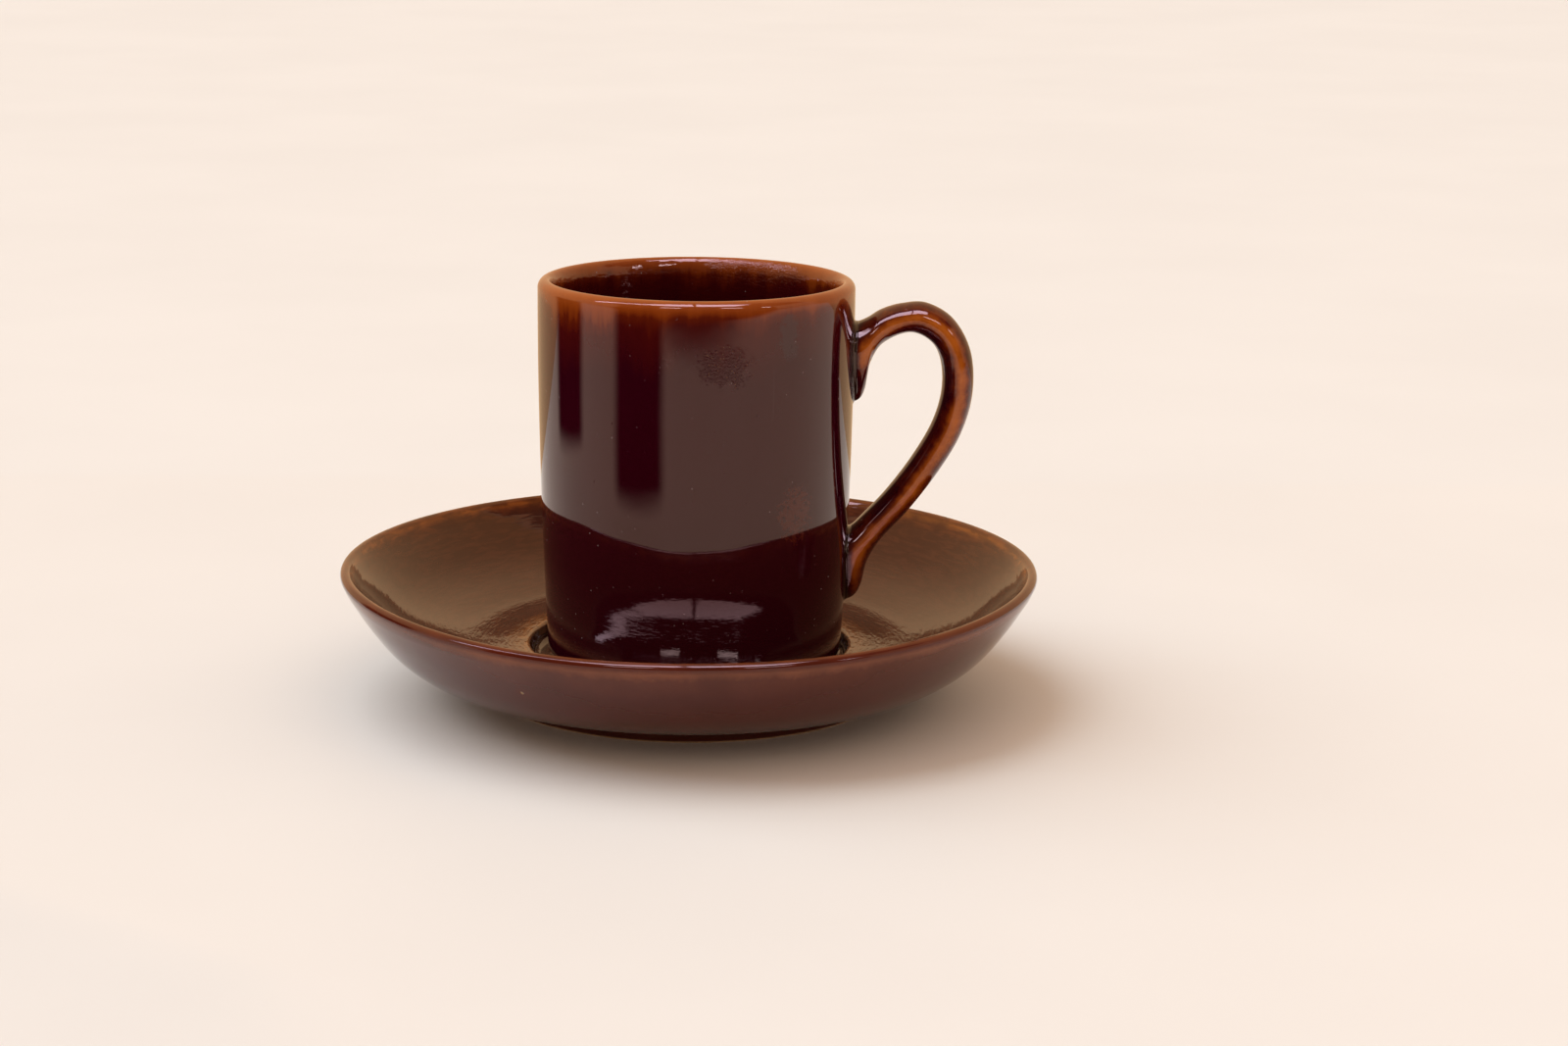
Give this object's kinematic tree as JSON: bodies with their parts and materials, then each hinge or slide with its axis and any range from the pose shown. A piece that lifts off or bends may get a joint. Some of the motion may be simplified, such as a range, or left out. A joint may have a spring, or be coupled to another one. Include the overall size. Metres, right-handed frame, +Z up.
{
  "type": "demitasse coffee cup and saucer",
  "caption": "Straight-sided glazed coffee can with an ear-shaped handle, standing in the well of its own deep saucer.",
  "frame": {"origin": "on the table under the centre of the saucer's foot ring", "axes": "+Z up along the saucer's turning axis, +X towards the cup's handle, +Y away from a viewer who has the handle on the right"},
  "size_m": [0.1386, 0.1386, 0.0826],
  "materials": {
    "saucer_glaze": "satin brown glaze with fine rings and an amber lip",
    "cup_glaze": "very glossy treacle-brown glaze that breaks to orange at the lip",
    "handle_glaze": "glossy amber-brown glaze, darker on the inner side",
    "slip": "dark glazed crease"
  },
  "bodies": {
    "saucer": {"saucer": "saucer_glaze"},
    "cup": {"cup_body": "cup_glaze", "handle": "handle_glaze", "upper_handle_slip": "slip", "lower_handle_slip": "slip"}
  },
  "joints": [
    {"name": "cup_lift", "type": "slide", "parent": "saucer", "child": "cup", "axis": [0, 0, 1], "range_m": [0, 0.1]}
  ]
}
